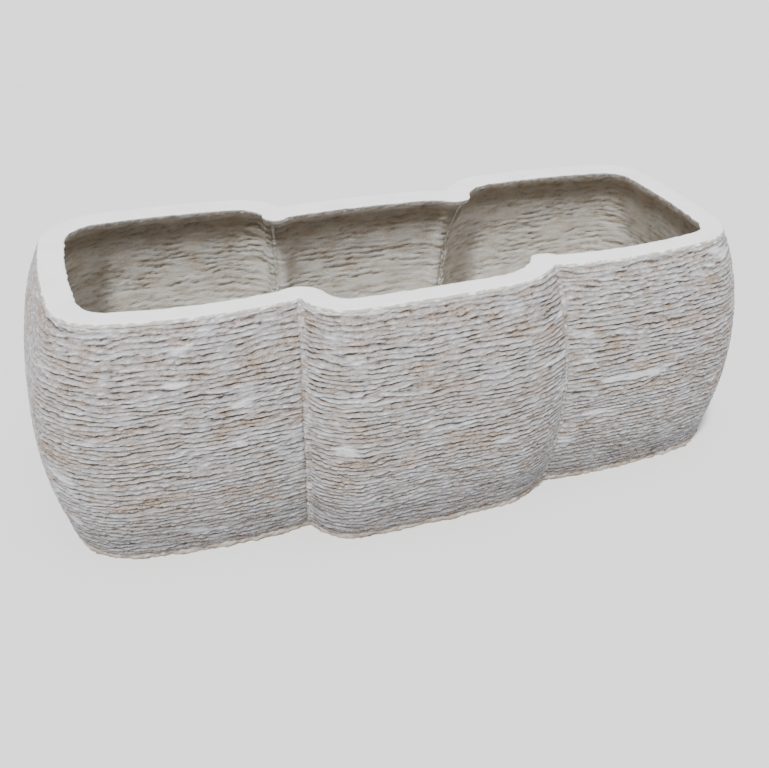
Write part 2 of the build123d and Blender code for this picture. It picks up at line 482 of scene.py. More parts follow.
class Shader:
    """Node tree of one finish.

    Args:
        name: Name of the material.
    """

    mix_inputs = (0, 6, 7)
    mix_output = 2
    speckle_roughness = 0.62
    specular = 0.25

    def __init__(self, name: str) -> None:
        self.material = bpy.data.materials.new(name)
        self.material.use_nodes = True
        self.tree = self.material.node_tree
        self.tree.nodes.clear()

    def node(self, kind: str, settings: dict | None = None, inputs: dict | None = None) -> bpy.types.Node:
        """Adds a node.

        Args:
            kind: Its type.
            settings: Its properties, set first.
            inputs: What goes into its sockets, each a number, a colour or another node's result.

        Returns:
            The node.
        """
        node = self.tree.nodes.new(kind)
        for key, value in (settings or {}).items():
            setattr(node, key, value)
        for key, value in (inputs or {}).items():
            if isinstance(value, (Value, Colour)):
                self.tree.links.new(value.socket, node.inputs[key])
            elif isinstance(value, bpy.types.NodeSocket):
                self.tree.links.new(value, node.inputs[key])
            else:
                node.inputs[key].default_value = value
        return node

    def attribute(self, name: str) -> Value:
        """A number kept at the mesh's points."""
        node = self.node("ShaderNodeAttribute", {"attribute_name": name})
        return Value(self, node.outputs["Fac"])

    def mix(self, share: Value, first: "Colour | tuple", second: "Colour | tuple") -> Colour:
        """Two colours mixed.

        Args:
            share: How much of the second shows, from 0 to 1.
            first: The first colour.
            second: The second colour.

        Returns:
            The mixed colour.
        """
        factor, low, high = self.mix_inputs
        node = self.node(
            "ShaderNodeMix",
            {"data_type": "RGBA"},
            {factor: share, low: opaque(first), high: opaque(second)},
        )
        return Colour(self, node.outputs[self.mix_output])

    def speckle(self, grain: float, detail: float, flat: float = 1.0) -> Value:
        """Noise fixed to the object.

        Args:
            grain: Size of a speck along the ground.
            detail: How many finer layers it has.
            flat: How many times longer a speck is than it is high.

        Returns:
            Values round a half.
        """
        place = self.node("ShaderNodeTexCoord")
        stretch = self.node(
            "ShaderNodeVectorMath",
            {"operation": "MULTIPLY"},
            {0: place.outputs["Object"], 1: (1 / grain, 1 / grain, flat / grain)},
        )
        noise = self.node(
            "ShaderNodeTexNoise",
            {"noise_dimensions": "3D"},
            {
                "Vector": stretch.outputs["Vector"],
                "Scale": 1.0,
                "Detail": detail,
                "Roughness": self.speckle_roughness,
            },
        )
        return Value(self, noise.outputs["Fac"])

    def hollows(self, level: float, sand: Value, grain: float, edge: tuple[float, float]) -> Value:
        """How far each place lies in a hollow of the mesh's relief.

        Args:
            level: Relief below which a hollow starts.
            sand: Speckle that breaks the hollow's edge.
            grain: How much it breaks it.
            edge: Depths below the level where the hollow starts to show and shows in full.

        Returns:
            0 outside the hollows and 1 in them.
        """
        depth = level - self.attribute("relief") + (sand - 0.5) * grain
        return depth.step(*edge)

    def close(self, colour: Colour, roughness: Value, height: Value, relief: float) -> bpy.types.Material:
        """Ends the tree with its surface.

        Args:
            colour: Base colour.
            roughness: Roughness.
            height: Fine height that the bump follows.
            relief: Real depth of that height.

        Returns:
            The finished material.
        """
        bump = self.node("ShaderNodeBump", {}, {"Strength": 1.0, "Distance": relief, "Height": height})
        surface = self.node(
            "ShaderNodeBsdfPrincipled",
            {},
            {
                "Base Color": colour,
                "Roughness": roughness,
                "Normal": bump.outputs["Normal"],
                "Specular IOR Level": self.specular,
            },
        )
        self.node("ShaderNodeOutputMaterial", {}, {"Surface": surface.outputs["BSDF"]})
        return self.material


def opaque(colour: "Colour | tuple[float, ...]") -> "Colour | tuple[float, ...]":
    """A colour of three numbers with its fourth added."""
    return colour if isinstance(colour, Colour) else (*colour, 1.0)


@dataclass(frozen=True)
class TornConcrete:
    """Finish of the slabs and joints: pale crests with painted highlights, beige patches, a browner inside,
    and painted shade in the crack hollows, on the ridges' lower slopes, under the rim inside and near the
    foot.

    A range says where a tone starts to show and where it shows in full, and a share how much of
    it shows at most. Where a share has two numbers, the second is taken off it inside.
    """

    name: str = "torn_concrete"
    crest: tuple[float, ...] = (0.45, 0.455, 0.475)
    # Near white: a painted highlight on the ridge tops, and on smears partly paler slurry and partly painted
    # highlight.
    highlight_and_smear_white: tuple[float, ...] = (0.90, 0.90, 0.93)
    beige: tuple[float, ...] = (0.43, 0.35, 0.285)
    ochre: tuple[float, ...] = (0.37, 0.26, 0.18)
    # Dark of the painted shade on the ridges' lower slopes and in the crack hollows, and of the dark tears.
    crack: tuple[float, ...] = (0.09, 0.07, 0.055)
    inside: tuple[float, ...] = (0.76, 0.755, 0.715)
    rust: tuple[float, ...] = (0.56, 0.49, 0.39)
    # Brown of a painted shadow in a band under the rim inside.
    rim_shadow: tuple[float, ...] = (0.24, 0.18, 0.11)
    # Bluish grey of painted shade and bounce light near the foot outside.
    foot_shade: tuple[float, ...] = (0.25, 0.255, 0.28)
    sand: float = 1.1 * MM
    tear: float = 1.6 * MM
    tear_flat: float = 2.0
    patch: float = 18 * MM
    patch_flat: float = 2.2
    bump: float = 0.9 * MM
    bare_level: float = 1.15
    bare_off_crest: float = 0.45
    bare_by_patch: float = 1.8
    bare_by_sand: float = 0.6
    ochre_range: tuple[float, float] = (0.49, 0.71)
    ochre_share: float = 0.7
    # Range of the painted highlight on the ridge tops, also used for the smears.
    highlight_range: tuple[float, float] = (0.7, 1.0)
    highlight_sand: float = 0.5
    highlight_share: float = 0.7
    smear_sand: float = 0.3
    smear_share: float = 0.5
    # How much of the painted shade near the foot shows.
    foot_shade_share: float = 0.55
    rust_range: tuple[float, float] = (0.5, 0.9)
    rust_sand: float = 0.3
    # Painted highlight on the ridge tops inside.
    inner_highlight_range: tuple[float, float] = (0.75, 1.0)
    inner_highlight_share: float = 0.35
    # How much of the painted shadow under the rim shows.
    rim_shadow_share: float = 0.7
    # Painted shade on the ridges' lower slopes.
    slope_shade_range: tuple[float, float] = (0.1, 1.0)
    slope_shade_share: tuple[float, float] = (0.6, 0.4)
    tear_level: float = 0.46
    tear_edge: float = 0.08
    tear_spare: float = 0.15
    tear_share: tuple[float, float] = (0.85, 0.5)
    # Painted shade in the crack hollows, where the relief is low.
    crack_shade_level: float = 0.38
    crack_shade_sand: float = 0.5
    crack_shade_range: tuple[float, float] = (0.02, 0.34)
    crack_shade_share: tuple[float, float] = (0.75, 0.45)
    roughness: tuple[float, float] = (0.98, 0.12)

    def material(self) -> bpy.types.Material:
        """Builds the material."""
        shader = Shader(self.name)
        relief, wash = shader.attribute("relief"), shader.attribute("wash")
        within, shade = shader.attribute("within"), shader.attribute("shade")
        sand = shader.speckle(self.sand, 2.0)
        tears = shader.speckle(self.tear, 3.0, self.tear_flat)
        patches = shader.speckle(self.patch, 4.0, self.patch_flat)
        grain = sand - 0.5
        bare = self.bare_level - wash - relief * self.bare_off_crest
        bare = (bare + (patches - 0.5) * self.bare_by_patch + grain * self.bare_by_sand).clamped()
        # Painted highlight on the ridge tops.
        crests = (relief + grain * self.highlight_sand).step(*self.highlight_range) * (1.0 - bare)
        smears = (wash + grain * self.smear_sand).step(*self.highlight_range) * relief
        outside = shader.mix(bare, self.crest, self.beige)
        outside = outside.towards(self.ochre, patches.step(*self.ochre_range) * bare * self.ochre_share)
        outside = outside.towards(self.highlight_and_smear_white, crests * self.highlight_share)
        # Smears get the same near white, partly paler slurry and partly painted highlight.
        outside = outside.towards(self.highlight_and_smear_white, smears * self.smear_share)
        # Painted shade near the foot outside.
        outside = outside.towards(self.foot_shade, shade * self.foot_shade_share)
        hollow = shader.mix((patches + sand * self.rust_sand).step(*self.rust_range), self.inside, self.rust)
        # Painted highlight on the ridge tops inside.
        hollow = hollow.towards(self.highlight_and_smear_white, relief.step(*self.inner_highlight_range) * self.inner_highlight_share)
        # Painted shadow in a band under the rim inside.
        hollow = hollow.towards(self.rim_shadow, shade * self.rim_shadow_share)
        colour = outside.towards(hollow, within)
        # Painted shade on the ridges' lower slopes.
        slopes = (1.0 - relief).step(*self.slope_shade_range)
        torn = (self.tear_level - tears).step(0.0, self.tear_edge) * (bare + self.tear_spare).clamped()
        # Painted shade in the crack hollows, where the relief is low.
        crack_shade = shader.hollows(self.crack_shade_level, sand, self.crack_shade_sand, self.crack_shade_range)
        # Darkens with painted shade on the slopes and in the crack hollows, and with the dark tears in the
        # concrete.
        for dark, (share, less) in (
            (slopes, self.slope_shade_share),
            (torn, self.tear_share),
            (crack_shade, self.crack_shade_share),
        ):
            colour = colour.towards(self.crack, dark * (share - within * less))
        rough, polish = self.roughness
        return shader.close(colour, rough - relief * polish, sand * 0.5 + tears, self.bump)


@dataclass(frozen=True)
class SmearedMortar:
    """Finish of the cove: one soft tone with faint sand, and painted shade in its hollows."""

    name: str = "smeared_mortar"
    tone: tuple[float, ...] = (0.62, 0.59, 0.52)
    # Dark of the painted shade in the hollows.
    crack: tuple[float, ...] = (0.13, 0.105, 0.085)
    sand: float = 1.0 * MM
    bump: float = 0.35 * MM
    crack_shade_level: float = 0.55
    crack_shade_sand: float = 0.4
    crack_shade_range: tuple[float, float] = (0.02, 0.5)
    crack_shade_share: float = 0.7
    roughness: tuple[float, float] = (0.85, 0.1)

    def material(self) -> bpy.types.Material:
        """Builds the material."""
        shader = Shader(self.name)
        sand = shader.speckle(self.sand, 2.0)
        # Painted shade in the hollows of the relief.
        crack_shade = shader.hollows(self.crack_shade_level, sand, self.crack_shade_sand, self.crack_shade_range)
        colour = shader.mix(crack_shade * self.crack_shade_share, self.tone, self.crack)
        rough, rougher = self.roughness
        return shader.close(colour, rough + sand * rougher, sand, self.bump)


@dataclass(frozen=True)
class TrowelledScreed:
    """Finish of the rim: near white with faint clouds, and torn and darker on its sides."""

    name: str = "trowelled_screed"
    white: tuple[float, ...] = (0.94, 0.94, 0.94)
    cloud: tuple[float, ...] = (0.87, 0.86, 0.85)
    edge: tuple[float, ...] = (0.46, 0.425, 0.385)
    sand: float = 0.8 * MM
    patch: float = 30 * MM
    bump: float = 0.12 * MM
    cloud_range: tuple[float, float] = (0.4, 0.7)
    worn_sand: float = 0.5
    worn_range: tuple[float, float] = (0.25, 0.8)
    roughness: tuple[float, float] = (0.7, 0.15)

    def material(self) -> bpy.types.Material:
        """Builds the material."""
        shader = Shader(self.name)
        sand = shader.speckle(self.sand, 2.0)
        clouds = shader.speckle(self.patch, 4.0)
        colour = shader.mix(clouds.step(*self.cloud_range), self.white, self.cloud)
        colour = colour.towards(self.edge, shader.hollows(1.0, sand, self.worn_sand, self.worn_range))
        rough, rougher = self.roughness
        return shader.close(colour, rough + sand * rougher, sand, self.bump)


@dataclass(frozen=True)
class CrumbledFoot:
    """Finish of the foot's edge and the floor: brownish, sandy and open, with painted shade in its pits."""

    name: str = "crumbled_foot"
    pale: tuple[float, ...] = (0.45, 0.41, 0.37)
    brown: tuple[float, ...] = (0.28, 0.22, 0.17)
    # Dark of the painted shade in the pits.
    pit: tuple[float, ...] = (0.11, 0.09, 0.07)
    sand: float = 1.3 * MM
    patch: float = 9 * MM
    bump: float = 0.5 * MM
    brown_sand: float = 0.3
    brown_range: tuple[float, float] = (0.45, 0.85)
    pit_shade_level: float = 0.45
    pit_shade_sand: float = 0.5
    pit_range: tuple[float, float] = (0.0, 0.5)
    pit_shade_share: float = 0.8
    roughness: tuple[float, float] = (0.9, 0.08)

    def material(self) -> bpy.types.Material:
        """Builds the material."""
        shader = Shader(self.name)
        sand = shader.speckle(self.sand, 3.0)
        clouds = shader.speckle(self.patch, 4.0)
        brown = (clouds + sand * self.brown_sand).step(*self.brown_range)
        # Painted shade in the pits, where the relief is low.
        pits = shader.hollows(self.pit_shade_level, sand, self.pit_shade_sand, self.pit_range)
        colour = shader.mix(brown, self.pale, self.brown).towards(self.pit, pits * self.pit_shade_share)
        rough, rougher = self.roughness
        return shader.close(colour, rough + sand * rougher, sand, self.bump)


# Meshes


class Skin:
    """Collects grids of points into one closed mesh, with numbers for its shader.

    Args:
        name: Name of the piece.
    """

    def __init__(self, name: str) -> None:
        self.name = name
        self.points: list[np.ndarray] = []
        self.faces: list[tuple[int, ...]] = []
        self.values: dict[str, list[np.ndarray]] = {}
        self.count = 0

    def grid(self, points: np.ndarray, **values: np.ndarray | float) -> np.ndarray:
        """Adds a grid of points.

        Args:
            points: The points, rows by columns by three.
            values: Numbers for the shader, one for each point or one for all.

        Returns:
            Index of each point, rows by columns.
        """
        shape = points.shape[:2]
        self.points.append(points.reshape(-1, 3))
        for key, value in values.items():
            self.values.setdefault(key, []).append(np.broadcast_to(value, shape).reshape(-1))
        index = self.count + np.arange(shape[0] * shape[1]).reshape(shape)
        self.count += index.size
        return index

    def quads(self, index: np.ndarray, face: Face = Face.OUTER) -> None:
        """Adds the faces between neighbouring points.

        Args:
            index: Point indices, rows by columns, with rows upward and columns counterclockwise.
            face: Which way the faces look.
        """
        corners = (index[:-1, :-1], index[:-1, 1:], index[1:, 1:], index[1:, :-1])
        ordered = corners if face is Face.OUTER else corners[::-1]
        self.faces += np.stack([corner.ravel() for corner in ordered], axis=1).tolist()

    def bridge(self, fine: np.ndarray, coarse: np.ndarray, flip: bool = False) -> None:
        """Adds the faces between two lines, where the fine one has twice as many spans.

        Args:
            fine: Point indices of the fine line.
            coarse: Point indices of the coarse line, in the same direction.
            flip: Whether to turn the faces over.
        """
        for place in range(len(coarse) - 1):
            middle = 2 * place
            ring = (*fine[middle : middle + 3], coarse[place + 1], coarse[place])
            self.faces.append(tuple(int(i) for i in (ring[::-1] if flip else ring)))

    def fan(self, ring: Iterable[int], flip: bool = False) -> None:
        """Adds one face over a ring of points."""
        corners = [int(i) for i in ring]
        self.faces.append(tuple(corners[::-1] if flip else corners))

    def piece(self, material: bpy.types.Material, slot: Slot, nodes: Iterable[str]) -> bpy.types.Object:
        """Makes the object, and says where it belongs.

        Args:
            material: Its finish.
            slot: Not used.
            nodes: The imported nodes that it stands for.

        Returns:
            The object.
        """
        mesh = bpy.data.meshes.new(self.name)
        mesh.from_pydata(np.concatenate(self.points).tolist(), [], self.faces)
        mesh.validate()
        for key, parts in self.values.items():
            layer = mesh.attributes.new(key, "FLOAT", "POINT")
            layer.data.foreach_set("value", np.concatenate(parts).astype(np.float32))
        return settled(self.name, mesh, material, nodes)


def settled(
    name: str, mesh: bpy.types.Mesh, material: bpy.types.Material, nodes: Iterable[str]
) -> bpy.types.Object:
    """Makes an object of a mesh and ties it to the frame.

    Args:
        name: Name of the piece.
        mesh: Its mesh.
        material: Its finish.
        nodes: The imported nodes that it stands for.

    Returns:
        The object.
    """
    mesh.materials.clear()
    mesh.materials.append(material)
    mesh.shade_smooth()
    made = bpy.data.objects.new(name, mesh)
    bpy.context.scene.collection.objects.link(made)
    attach(made, BODY)
    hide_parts(*nodes)
    log.info("%s: %d points", name, len(mesh.vertices))
    return made


# Reliefs


@dataclass(frozen=True)
class TornRelief:
    """Level ridges torn into wet concrete, each with a lip over a crack.

    Each bend gives how far it moves the ridges, its length and height in ridges, and its octaves.
    """

    seed: int
    pitch: float
    depth: float
    length: float
    smears: float
    grit: float = 0.36
    lip_share: float = 0.13
    second_set: int = 7
    set_blend: float = 0.1
    crest: float = 0.85
    strength: float = 0.76
    unevenness: float = 0.8
    strengths: tuple[float, float] = (0.12, 1.1)
    smear_edge: float = 0.2
    smear_cover: float = 0.8
    grit_cover: float = 0.75
    pit_range: tuple[float, float] = (0.35, 0.7)
    pit: float = 0.4
    bends: tuple[tuple[float, float, float, int], ...] = (
        (0.9, 2.4, 5.0, 1),
        (0.4, 0.6, 2.2, 1),
        (0.2, 0.16, 1.2, 2),
    )

    def noise(self, noise: RidgeNoise, s: np.ndarray, z: np.ndarray) -> np.ndarray:
        """One noise of the ridges, sized by their length and pitch."""
        return drawn(self.seed, noise, s, z, self.length, self.pitch)

    def comb(self, s: np.ndarray, z: np.ndarray, seed: int) -> np.ndarray:
        """One set of wandering ridges.

        Args:
            s: Distances along the wall.
            z: Heights.
            seed: Which set.

        Returns:
            1 on a lip, falling to 0 in the crack over it.
        """
        phase = z / self.pitch
        for step, (reach, along, up, octaves) in enumerate(self.bends):
            bend = Grain(seed + step, along * self.length, up * self.pitch, octaves)
            phase = phase + reach * bend.at(s, z)
        return sawtooth(phase, self.lip_share)

    def at(self, s: np.ndarray, z: np.ndarray) -> tuple[np.ndarray, np.ndarray]:
        """Relief at places on a wall.

        Args:
            s: Distances along the wall.
            z: Heights.

        Returns:
            Height from 0 in a crack to 1 on a crest, and how far a smear has closed the ridges.
        """
        which = rise(self.noise(RidgeNoise.CHOICE, s, z), -self.set_blend, self.set_blend)
        ridges = self.comb(s, z, self.seed) * (1 - which)
        ridges += self.comb(s, z, self.seed + self.second_set) * which
        smear = rise(self.noise(RidgeNoise.SMEARS, s, z), self.smears, self.smears + self.smear_edge)
        strength = self.strength + self.unevenness * self.noise(RidgeNoise.STRENGTH, s, z)
        strength = np.clip(strength, *self.strengths) * (1 - self.smear_cover * smear)
        broken = self.noise(RidgeNoise.GRIT, s, z)
        pits = rise(self.noise(RidgeNoise.PITS, s, z), *self.pit_range)
        height = self.crest - strength * (self.crest - ridges)
        height += self.grit * broken * (1 - self.grit_cover * smear) - self.pit * pits * (1 - smear)
        return np.clip(height, 0, 1), smear


# Sub-assemblies


@dataclass
class Wall:
    """One slab wall, torn into ridges outside and more softly inside.

    The fields after the skim shape its edges, its courses and the tones along it.
    """

    node: str
    name: str
    seed: int
    low: float = 5 * MM
    high: float = 197 * MM
    courses: int = 8
    course_depth: float = 0.7 * MM
    step_along: float = 2.0 * MM
    rows: int = 241
    outer_depth: float = 2.2 * MM
    inner_depth: float = 1.4 * MM
    outer_pitch: float = 3.9 * MM
    inner_pitch: float = 6.0 * MM
    ridge_length: float = 30 * MM
    inner_length: float = 19 * MM
    outer_smears: float = 0.3
    inner_smears: float = 0.05
    inner_grit: float = 0.6
    inner_lip_share: float = 0.4
    inner_seed: int = 300
    skim: float = 0.1 * MM
    calm: float = 0.15
    calm_reach: float = 6 * MM
    rim_crest: float = 0.9
    rim_calm: float = 0.45
    rim_reach: float = 3 * MM
    foot_reach: float = 5 * MM
    foot_loss: float = 2.4 * MM
    foot_losses: tuple[float, float] = (0.2, 1.5)
    course_lip: float = 0.12
    course_drift: float = 0.16
    hold_range: tuple[float, float] = (-0.4, 0.5)
    wash: float = 0.5
    wash_clouds: float = 0.6
    wash_smears: float = 0.6
    wash_rim: float = 0.1
    wash_foot: float = 0.35
    foot_sway: float = 9 * MM
    foot_height: float = 22 * MM
    # Painted shadow in a band under the rim inside: its sway, its range below the top and its end.
    rim_shadow_sway: float = 7 * MM
    rim_shadow_range: tuple[float, float] = (34 * MM, 14 * MM)
    rim_shadow_end: float = 9 * MM
    # Painted shade near the foot outside: its sway and its range above the bottom.
    foot_shade_sway: float = 14 * MM
    foot_shade_range: tuple[float, float] = (8 * MM, 55 * MM)

    def cut(self) -> None:
        """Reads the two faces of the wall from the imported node, at the lips of its courses."""
        cuts = LevelCuts(self.node)
        sliver = (self.high - self.low) / 1e4
        levels = np.linspace(self.low, self.high, self.courses + 1) + sliver
        levels[-1] -= 2 * sliver
        lines = [cuts.faces_at(level) for level in levels]
        longest = max(walked(line[Face.OUTER])[-1] for line in lines)
        columns = 2 * round(longest / self.step_along / 2) + 1
        heights = np.linspace(self.low, self.high, self.rows)
        self.faces = {
            Face.OUTER: self.between(lines, Face.OUTER, levels, heights, columns),
            Face.INNER: self.between(lines, Face.INNER, levels, heights[::2], columns // 2 + 1),
        }

    def between(
        self, lines: list[dict], face: Face, cuts: np.ndarray, levels: np.ndarray, columns: int
    ) -> np.ndarray:
        """A face's points at finer levels than its cuts.

        Args:
            lines: The two faces at each cut.
            face: Which of them.
            cuts: Levels of the cuts.
            levels: Levels of the rows to make.
            columns: Points in each row.

        Returns:
            Points, rows by columns by three.
        """
        points = flowing(np.stack([spaced(line[face], columns) for line in lines]), cuts, levels)
        heights = np.broadcast_to(levels[:, None, None], (*points.shape[:2], 1))
        return np.concatenate([points, heights], axis=2)

    def normals(self, points: np.ndarray) -> np.ndarray:
        """Normals of a face.

        Args:
            points: Its points, rows by columns by three.

        Returns:
            Unit normals that look away from the planter's middle.
        """
        along, up = np.gradient(points, axis=1), np.gradient(points, axis=0)
        normal = np.cross(along, up)
        return normal / np.linalg.norm(normal, axis=2, keepdims=True)

    def places(self, points: np.ndarray) -> tuple[np.ndarray, np.ndarray]:
        """Where the points of a face lie, for the noise.

        Args:
            points: Its points, rows by columns by three.

        Returns:
            Distance along the belly and height of each point.
        """
        along = walked(points[len(points) // 2])
        return np.broadcast_to(along, points.shape[:2]), points[:, :, 2]

    def setback(self, relief: TornRelief, height: np.ndarray, s: np.ndarray, z: np.ndarray) -> np.ndarray:
        """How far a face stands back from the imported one.

        Args:
            relief: Its ridges.
            height: Relief at each point, from 0 to 1.
            s: Distances along the wall.
            z: Heights.

        Returns:
            Distances into the wall.
        """
        course = (self.high - self.low) / self.courses
        drift = self.course_drift * drawn(relief.seed, WallNoise.DRIFT, s, z)
        step = sawtooth((z - self.low) / course + drift, self.course_lip)
        held = rise(drawn(relief.seed, WallNoise.HOLD, s, z), *self.hold_range)
        least, more = self.foot_losses
        crumbled = least + more * np.abs(drawn(relief.seed, WallNoise.CRUMBS, s, z))
        lowest = 1 - rise(z, self.low, self.low + self.foot_reach)
        back = self.skim + relief.depth * (1 - height) + self.course_depth * held * (1 - step)
        return back + self.foot_loss * crumbled * lowest**2

    def shade(self, face: Face, clouds: np.ndarray, z: np.ndarray) -> np.ndarray:
        """Where a face is darker: a painted shadow in a band under the rim inside, and painted shade near the
        foot outside.

        Args:
            face: Which face.
            clouds: Noise that sways the bands.
            z: Heights.

        Returns:
            How dark each point is, from 0 to 1.
        """
        # Painted shadow in a band under the rim inside.
        if face is Face.INNER:
            start, full = (self.high - reach for reach in self.rim_shadow_range)
            band = rise(z + self.rim_shadow_sway * clouds, start, full)
            return band * (1 - rise(z, self.high - self.rim_shadow_end, self.high))
        # Painted shade near the foot outside.
        full, end = (self.low + reach for reach in self.foot_shade_range)
        return 1 - rise(z + self.foot_shade_sway * clouds, full, end)

    def dressed(self, face: Face, relief: TornRelief) -> tuple[np.ndarray, dict[str, np.ndarray | float]]:
        """A face with its relief.

        Args:
            face: Which face.
            relief: Its ridges.

        Returns:
            The moved points, and the numbers for the shader.
        """
        points = self.faces[face]
        s, z = self.places(points)
        height, smear = relief.at(s, z)
        edge = np.minimum(s, s.max() - s)
        calm = 1 - self.calm * (1 - rise(edge, 0, self.calm_reach))
        height = relief.crest + (height - relief.crest) * calm
        rim = rise(z, self.high - self.rim_reach, self.high)
        height = height + (self.rim_crest - height) * self.rim_calm * rim
        clouds = drawn(relief.seed, WallNoise.CLOUDS, s, z)
        foot = 1 - rise(z + self.foot_sway * clouds, self.low, self.low + self.foot_height)
        wash = self.wash + self.wash_clouds * clouds + self.wash_smears * smear
        wash = np.clip(wash + self.wash_rim * rim - self.wash_foot * foot, 0, 1)
        back = self.setback(relief, height, s, z)
        moved = points - self.normals(points) * (face.value * back)[..., None]
        within = 0.0 if face is Face.OUTER else 1.0
        return moved, {"relief": height, "wash": wash, "within": within, "shade": self.shade(face, clouds, z)}

    def build(self, material: bpy.types.Material) -> bpy.types.Object:
        """Makes the wall as one closed mesh.

        Args:
            material: Its finish.

        Returns:
            The object.
        """
        skin = Skin(self.name)
        reliefs = {
            Face.OUTER: TornRelief(
                self.seed, self.outer_pitch, self.outer_depth, self.ridge_length, self.outer_smears
            ),
            Face.INNER: TornRelief(
                self.seed + self.inner_seed,
                self.inner_pitch,
                self.inner_depth,
                self.inner_length,
                self.inner_smears,
                self.inner_grit,
                self.inner_lip_share,
            ),
        }
        grids = {}
        for face, relief in reliefs.items():
            points, values = self.dressed(face, relief)
            grids[face] = skin.grid(points, **values)
        outer, inner = grids[Face.OUTER], grids[Face.INNER]
        skin.quads(outer, Face.OUTER)
        skin.quads(inner, Face.INNER)
        skin.bridge(outer[-1], inner[-1])
        skin.bridge(outer[0], inner[0], flip=True)
        skin.bridge(outer[:, 0], inner[:, 0])
        skin.bridge(outer[:, -1], inner[:, -1], flip=True)
        return skin.piece(material, Slot.CONCRETE, [self.node])


@dataclass
class Joint:
    """Mortar in one joint, with a flange over the walls on both sides of it, torn as they are."""

    node: str
    name: str
    before: Wall
    after: Wall
    seed: int
    reach_before: float
    reach_after: float
    half_web: float = 1.2 * MM
    flange: float = 4 * MM
    columns: int = 31
    rows_kept: int = 2
    outer_ease: int = 24
    inner_ease: int = 1
    proud: float = -0.15 * MM
    sunk: float = 2.6 * MM
    sunk_range: tuple[float, float] = (0.1, 1.0)
    torn: float = 1.3 * MM
    torn_pitch: float = 3.9 * MM
    torn_length: float = 22 * MM
    torn_smears: float = 0.2
    torn_seed: int = 5
    lump: float = 0.35 * MM
    lump_relief: float = 0.15
    side_place: float = 90 * MM
    spread: tuple[float, float] = (0.75, 0.75)
    spreads: tuple[float, float] = (0.15, 1.3)
    brim: float = 0.999
    core_relief: float = 0.8
    wash: tuple[float, float] = (0.45, 0.5)

    def strip(self, face: Face) -> tuple[np.ndarray, np.ndarray, np.ndarray]:
        """The walls' surface on both sides of the joint, with the groove eased.

        Args:
            face: Which face of the walls.

        Returns:
            Points in plan, levels by columns by two, their distances from the joint, and the levels.
        """
        first, last = self.before.faces[face], self.after.faces[face]
        step = self.rows_kept if face is Face.OUTER else self.rows_kept // 2
        rounds = self.outer_ease if face is Face.OUTER else self.inner_ease
        places = np.linspace(-self.reach_before, self.reach_after, self.columns)
        lines = []
        for row in range(0, len(first), step):
            left, right = first[row, :, :2], last[row, :, :2]
            line = np.concatenate([left, right])
            along = walked(line)
            centre = (along[len(left) - 1] + along[len(left)]) / 2
            line = np.stack([np.interp(centre + places, along, line[:, axis]) for axis in (0, 1)], axis=1)
            lines.append(smoothed(line, rounds))
        return np.stack(lines), places, first[::step, 0, 2]

    def smeared(self, face: Face) -> tuple[np.ndarray, np.ndarray, np.ndarray]:
        """One face of the mortar.

        Args:
            face: Which face of the walls it is smeared on.

        Returns:
            Points, levels by columns by three, their relief, and how smooth they are smeared.
        """
        plan, places, levels = self.strip(face)
        s, z = np.meshgrid(places, levels)
        usual, uneven = self.spread
        spread = usual + uneven * drawn(self.seed, JointNoise.SPREAD, np.sign(s) * self.side_place, z)
        reach = np.where(s < 0, self.reach_before, self.reach_after) * np.clip(spread, *self.spreads)
        thin = np.abs(s) / reach
        ridges = TornRelief(
            self.seed + self.torn_seed, self.torn_pitch, self.torn, self.torn_length, self.torn_smears
        )
        torn, smear = ridges.at(s, z)
        lumps = drawn(self.seed, JointNoise.LUMPS, s, z)
        lift = self.proud - self.sunk * rise(thin, *self.sunk_range)
        lift = lift + self.lump * lumps - self.torn * (1 - torn)
        lift = np.where(thin > self.brim, np.minimum(lift, -self.sunk), lift)
        plan = plan + face.value * outward(plan) * lift[..., None]
        relief = np.clip(torn + self.lump_relief * lumps, 0, 1)
        return np.concatenate([plan, z[..., None]], axis=2), relief, smear

    def web(self, face: Face) -> np.ndarray:
        """The two lines where a flange meets the web of mortar between the walls.

        Args:
            face: Which flange.

        Returns:
            Points, levels by two by three, in the order of the columns.
        """
        plan, places, levels = self.strip(face)
        normal = outward(plan)
        centre = int(np.argmin(np.abs(places)))
        inward = -face.value * normal[:, centre] * self.flange
        side = np.stack([-normal[:, centre, 1], normal[:, centre, 0]], axis=1)
        ends = [plan[:, centre] + inward + side * way * self.half_web for way in (-1, 1)]
        heights = np.broadcast_to(levels[:, None, None], (len(levels), 2, 1))
        return np.concatenate([np.stack(ends, axis=1), heights], axis=2)

    def build(self, material: bpy.types.Material) -> bpy.types.Object:
        """Makes the mortar as one closed mesh with an I-shaped section.

        Args:
            material: Its finish.

        Returns:
            The object.
        """
        outer, outer_relief, outer_smear = self.smeared(Face.OUTER)
        inner, inner_relief, inner_smear = self.smeared(Face.INNER)
        outer_web, inner_web = self.web(Face.OUTER), self.web(Face.INNER)
        ring = np.concatenate(
            [outer, outer_web[:, 1:], inner_web[:, 1:], inner[:, ::-1], inner_web[:, :1], outer_web[:, :1]],
            axis=1,
        )
        core = np.full((len(ring), 2), self.core_relief)
        relief = np.concatenate([outer_relief, core, inner_relief[:, ::-1], core], axis=1)
        usual, smeared = self.wash
        wash = usual + smeared * np.concatenate([outer_smear, core, inner_smear[:, ::-1], core], axis=1)
        within = np.zeros_like(relief)
        within[:, self.columns + 1 : -1] = 1.0
        skin = Skin(self.name)
        index = skin.grid(ring, relief=relief, within=within, wash=wash, shade=0.0)
        skin.quads(np.concatenate([index, index[:, :1]], axis=1))
        skin.fan(index[-1])
        skin.fan(index[0], flip=True)
        return skin.piece(material, Slot.MORTAR, [self.node])


